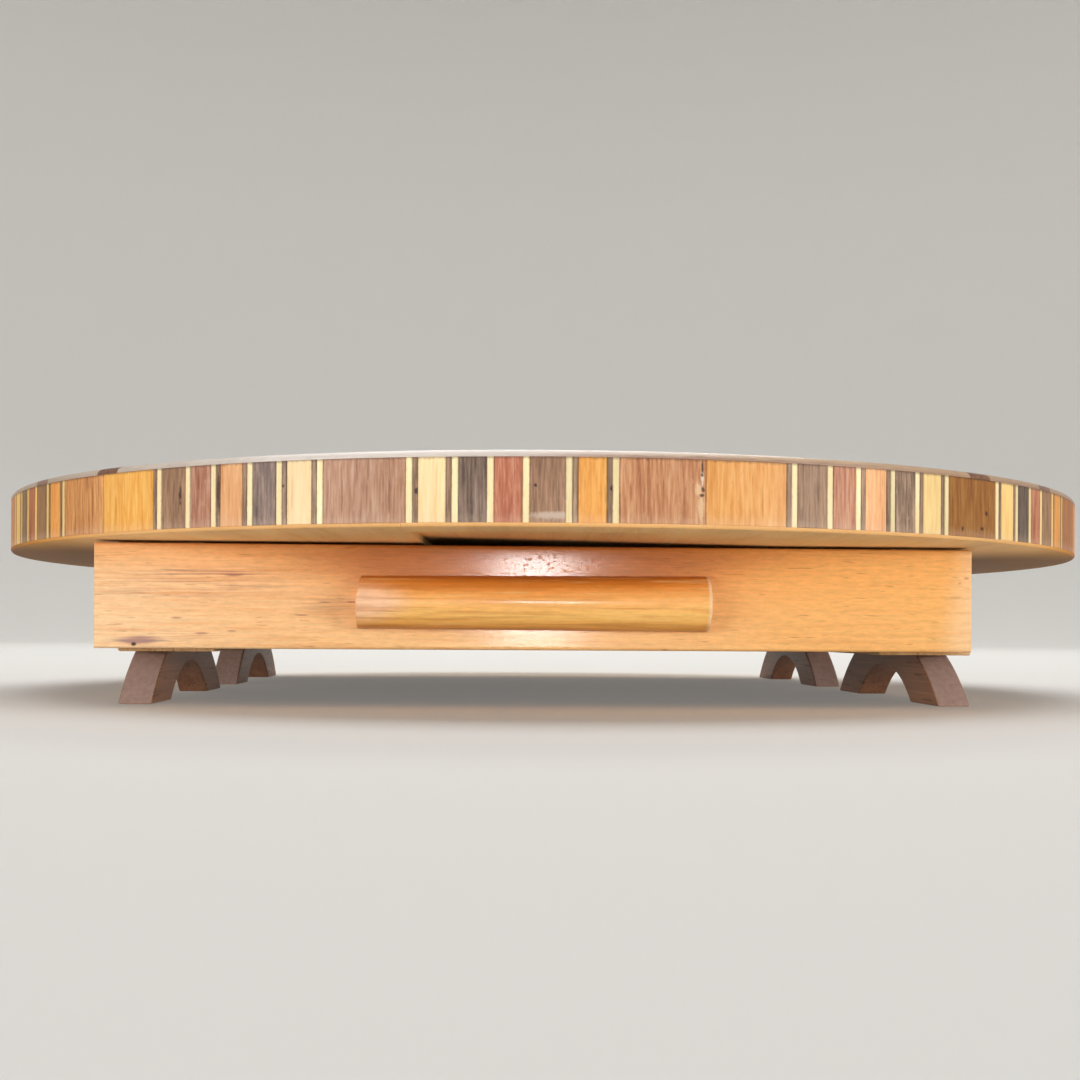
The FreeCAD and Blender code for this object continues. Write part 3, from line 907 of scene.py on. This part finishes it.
def makePull():
    low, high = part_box("drawer_pull")
    base = high.y
    middle = (low.z + high.z) / 2
    left, right = pull["taper"]
    edge = pull["endRound"]
    rounds = [math.radians(90 * i / pull["endSteps"]) for i in range(pull["endSteps"] + 1)]
    ends = [(edge * (1 - math.cos(turn)), edge * (1 - math.sin(turn))) for turn in rounds]
    stations = [(low.x + inset, drawnIn) for inset, drawnIn in ends]
    span = high.x - low.x - 2 * edge
    stations += [(low.x + edge + span * i / pull["steps"], 0.0) for i in range(1, pull["steps"])]
    stations += [(high.x - inset, drawnIn) for inset, drawnIn in reversed(ends)]
    bm = bmesh.new()
    rings = []
    for x, drawnIn in stations:
        share = (x - low.x) / (high.x - low.x)
        radius = left + (right - left) * share - drawnIn
        half = math.acos(-pull["standOff"] / radius)  # the flat back meets the drawer front
        ring = []
        for i in range(pull["arc"] + 1):
            turn = half * (2 * i / pull["arc"] - 1)
            z = radius * math.sin(turn)
            lean = max(0.0, z) / left * pull["slant"] * max(0.0, 1 - pull["slantFade"] * share)
            y = base - pull["standOff"] - radius * math.cos(turn)
            ring.append(bm.verts.new((x + lean, y, middle + z)))
        rings.append(ring)
    skin(bm, rings)
    piece = linked("bar_pull", meshFrom("bar_pull", bm))
    smooth(piece)
    hand(piece, pullFinish(), "drawer", ["drawer_pull"])


def makeDrawer():
    hand(softCopy("lacquered_front", "drawer_front", front["arris"]), frontFinish(), "drawer",
         ["drawer_front"])
    along = plainWood("drawerPineLong", 1, paleDrawer)
    across = plainWood("drawerPineCross", 0, paleDrawer)
    for side in ("left", "right"):
        node = "drawer_side_" + side
        hand(softCopy("pine_" + node, node, boardArris), along, "drawer", [node])
    hand(softCopy("pine_drawer_back", "drawer_back", boardArris), across, "drawer",
         ["drawer_back"])
    hand(softCopy("ply_bottom", "drawer_bottom", plyArris), plainWood("plyBottom", 0, plyLook), "drawer",
         ["drawer_bottom"])
    makePull()
    print("drawer: front, pull, two sides, back and bottom")


# Slotted wood screws

screws = {
    "headRadius": 3.4 * mm, "headHeight": 1.9 * mm, "shankRadius": 1.7 * mm, "length": 19 * mm,
    "slotWidth": 0.9 * mm, "slotDepth": 0.8 * mm, "slotLength": 1.7,  # times the head's radius
    "headSides": 32, "shankSides": 24,
    "zinc": rgb(176, 172, 164), "dull": rgb(120, 112, 102),
}


def screwFinish():
    finish = Finish("zincScrew", {"Metallic": 1.0})
    tarnish = finish.noise(finish.place, 900, 3)
    scratches = finish.noise(finish.stretch((1, 1, 0.2)), 4000, 1)
    colour = finish.ramp(tarnish, [(0.35, screws["dull"]), (0.6, screws["zinc"])])
    finish.set({"Base Color": colour, "Roughness": 0.28 + 0.3 * tarnish})
    finish.bump(scratches, 0.03 * mm)
    return finish


def screwTree():
    sizes = ["Head Radius", "Head Height", "Shank Radius", "Length", "Slot Width", "Slot Depth"]
    inputs = {**{size: "Float" for size in sizes}, "Turn": "Vector", "Metal": "Material"}
    tree = newTree("slottedScrews", inputs)
    given = treeNode(tree, "NodeGroupInput").outputs
    head = treeNode(tree, "GeometryNodeMeshCone", None, {
        "Vertices": screws["headSides"], "Depth": given["Head Height"],
        "Radius Top": given["Shank Radius"], "Radius Bottom": given["Head Radius"]})
    shank = treeNode(tree, "GeometryNodeMeshCylinder", None, {
        "Vertices": screws["shankSides"], "Radius": given["Shank Radius"], "Depth": given["Length"]})
    half = treeNode(tree, "ShaderNodeMath", {"operation": "MULTIPLY"}, {0: given["Length"], 1: 0.5})
    lift = treeNode(tree, "ShaderNodeCombineXYZ", None, {"Z": half.outputs[0]})
    raised = treeNode(tree, "GeometryNodeTransform", None, {
        "Geometry": shank.outputs[0], "Translation": lift.outputs[0]})
    across = treeNode(tree, "ShaderNodeMath", {"operation": "MULTIPLY"}, {
        0: given["Head Radius"], 1: screws["slotLength"]})
    deep = treeNode(tree, "ShaderNodeMath", {"operation": "MULTIPLY"}, {0: given["Slot Depth"], 1: 2.0})
    slotSize = treeNode(tree, "ShaderNodeCombineXYZ", None, {
        "X": across.outputs[0], "Y": given["Slot Width"], "Z": deep.outputs[0]})
    slot = treeNode(tree, "GeometryNodeMeshCube", None, {"Size": slotSize.outputs[0]})
    body = treeNode(tree, "GeometryNodeMeshBoolean", {"operation": "UNION"})
    tree.links.new(head.outputs[0], body.inputs[1])
    tree.links.new(raised.outputs[0], body.inputs[1])
    slotted = treeNode(tree, "GeometryNodeMeshBoolean", {"operation": "DIFFERENCE"}, {0: body.outputs[0]})
    tree.links.new(slot.outputs[0], slotted.inputs[1])
    rotation = treeNode(tree, "FunctionNodeEulerToRotation", None, {0: given["Turn"]})
    copies = treeNode(tree, "GeometryNodeInstanceOnPoints", None, {
        "Points": given["Geometry"], "Instance": slotted.outputs[0], "Rotation": rotation.outputs[0]})
    solid = treeNode(tree, "GeometryNodeRealizeInstances", None, {0: copies.outputs[0]})
    coated = treeNode(tree, "GeometryNodeSetMaterial", None, {
        "Geometry": solid.outputs[0], "Material": given["Metal"]})
    treeNode(tree, "NodeGroupOutput", None, {0: coated.outputs[0]})
    return tree


def makeScrews():
    tree = screwTree()
    finish = screwFinish()
    radius = screws["headRadius"]
    low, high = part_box("pull_screws")
    middle = (low.z + high.z) / 2
    pullHeads = [(x, high.y, middle) for x in (low.x + radius, high.x - radius)]
    low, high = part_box("top_screws")
    topHeads = [(x, y, low.z)
                for x in (low.x + radius, high.x - radius) for y in (low.y + radius, high.y - radius)]
    sets = {
        "pull_screws": ("drawer", pullHeads, (math.radians(90), math.radians(35), 0)),
        "top_screws": ("case", topHeads, (0, 0, math.radians(20))),
    }
    for node, (body, heads, turn) in sets.items():
        mesh = bpy.data.meshes.new(node)
        mesh.from_pydata(heads, [], [])
        piece = linked("slotted_" + node, mesh)
        runTree(piece, tree, {
            "Head Radius": radius, "Head Height": screws["headHeight"], "Shank Radius": screws["shankRadius"],
            "Length": screws["length"], "Slot Width": screws["slotWidth"], "Slot Depth": screws["slotDepth"],
            "Turn": turn, "Metal": finish.material})
        smooth(piece)
        hand(piece, finish, body, [node])
    print("screws:", len(pullHeads) + len(topHeads))


# Floor, light and camera

stage = {
    "colour": rgb(233, 231, 227),
    "glow": rgb(230, 228, 224),
    "glowShare": 0.2,  # seen by the eye alone, so it lights nothing
    "reach": 3.2,  # from the middle to the wall
    "height": 3.0,
    "curve": 1.1,
    "curveSteps": 12,
    "apron": 0.1,  # keeps the floor's shading flat up to the curve
    "steps": 96,
}


def makeStage():
    flat = stage["reach"] - stage["curve"]
    outline = [(flat - stage["apron"], 0.0)]
    for i in range(stage["curveSteps"] + 1):
        turn = math.radians(90 * i / stage["curveSteps"])
        outline.append((flat + stage["curve"] * math.sin(turn), stage["curve"] * (1 - math.cos(turn))))
    outline.append((stage["reach"], stage["height"]))
    bm = bmesh.new()
    turns = [2 * math.pi * i / stage["steps"] for i in range(stage["steps"])]
    rings = [[bm.verts.new((reach * math.cos(turn), reach * math.sin(turn), z)) for turn in turns]
             for reach, z in outline]
    bm.faces.new(rings[0])
    for low, high in zip(rings, rings[1:]):
        for i in range(stage["steps"]):
            bm.faces.new((low[i - 1], high[i - 1], high[i], low[i]))
    mesh = bpy.data.meshes.new("sweep")
    bm.to_mesh(mesh)
    bm.free()
    sweep = linked("paper_sweep", mesh)
    mesh.shade_smooth()
    finish = Finish("palePaper", {
        "Base Color": stage["colour"], "Roughness": 0.85, "Specular IOR Level": 0.1})
    rays = finish.add("LightPath").socket.node.outputs
    seen = [Wire(finish, rays[kind]) for kind in ("Is Camera Ray", "Is Glossy Ray", "Is Transmission Ray")]
    glow = finish.add("Emission", None, {"Color": stage["glow"], "Strength": 1.0})
    paper = Wire(finish, finish.shader.outputs[0])
    share = (seen[0] + seen[1] + seen[2]) * stage["glowShare"]
    finish.plug(finish.tree.nodes["Material Output"].inputs["Surface"],
                finish.add("MixShader", None, {0: share, 1: paper, 2: glow}))
    mesh.materials.append(finish.material)
    return sweep


lamps = {
    "left": {"place": (-1.35, -1.4, 0.2), "aim": (0, 0, 0.04), "size": (0.8, 0.36), "power": 12.6},
    "right": {"place": (1.42, -1.3, 0.2), "aim": (0, 0, 0.04), "size": (0.8, 0.36), "power": 12.6},
    "overhead": {"place": (0.0, 0.4, 2.3), "aim": (0, 0.4, 0), "size": (2.4, 1.6), "power": 37},
    "behind": {"place": (0.25, 1.75, 1.5), "aim": (0, 0, 0.05), "size": (1.2, 0.5), "power": 11},
    "nearCamera": {
        "place": (0.046, -1.36, 0.095), "aim": (0, 0, 0.045), "size": (0.09, 0.17), "power": 0.13,
        "spread": 50,  # degrees
    },
}
lowLamp = 1.0  # lamps lower than this leave the paper to the overhead one
sky = {"colour": (1.0, 0.98, 0.95, 1.0), "strength": 0.27}


def makeLight(sweep):
    world = bpy.data.worlds.new("paleRoom")
    bpy.context.scene.world = world
    world.use_nodes = True
    background = world.node_tree.nodes["Background"]
    background.inputs["Color"].default_value = sky["colour"]
    background.inputs["Strength"].default_value = sky["strength"]
    exceptPaper = bpy.data.collections.new("exceptPaper")
    exceptPaper.objects.link(sweep)
    exceptPaper.collection_objects[0].light_linking.link_state = "EXCLUDE"
    for name, lamp in lamps.items():
        light = bpy.data.lights.new(name, "AREA")
        light.shape = "RECTANGLE"
        light.size, light.size_y = lamp["size"]
        light.spread = math.radians(lamp.get("spread", 180))
        light.energy = lamp["power"]
        lampObject = linked(name, light)
        lampObject.location = lamp["place"]
        if lamp["place"][2] < lowLamp:
            lampObject.light_linking.receiver_collection = exceptPaper
        aim = Vector(lamp["aim"]) - Vector(lamp["place"])
        lampObject.rotation_euler = aim.to_track_quat("-Z", "Y").to_euler()


view = {
    "right": -0.9 * mm, "back": 602 * mm, "height": 26.1 * mm,
    "lens": 44.0,
    "sensor": 36,
    "roll": -0.35,  # degrees
    "shift": 0.084,
    "clip": 20 * mm,
}


def makeCamera():
    camera = bpy.data.cameras.new("photoView")
    camera.lens = view["lens"]
    camera.sensor_width = view["sensor"]
    camera.shift_y = view["shift"]
    camera.clip_start = view["clip"]
    cameraObject = linked("photoView", camera)
    height = Vector((0, 0, view["height"]))
    cameraObject.location = topAcross * view["right"] - topDeep * view["back"] + height
    cameraObject.rotation_euler = (math.radians(90), math.radians(view["roll"]), topTurn)
    bpy.context.scene.camera = cameraObject


makeBand()
makeBoards()
makeSheet()
makeCase()
makeFeet()
makeDrawer()
makeScrews()
makeLight(makeStage())
makeCamera()
bpy.context.scene.view_settings.view_transform = "Standard"
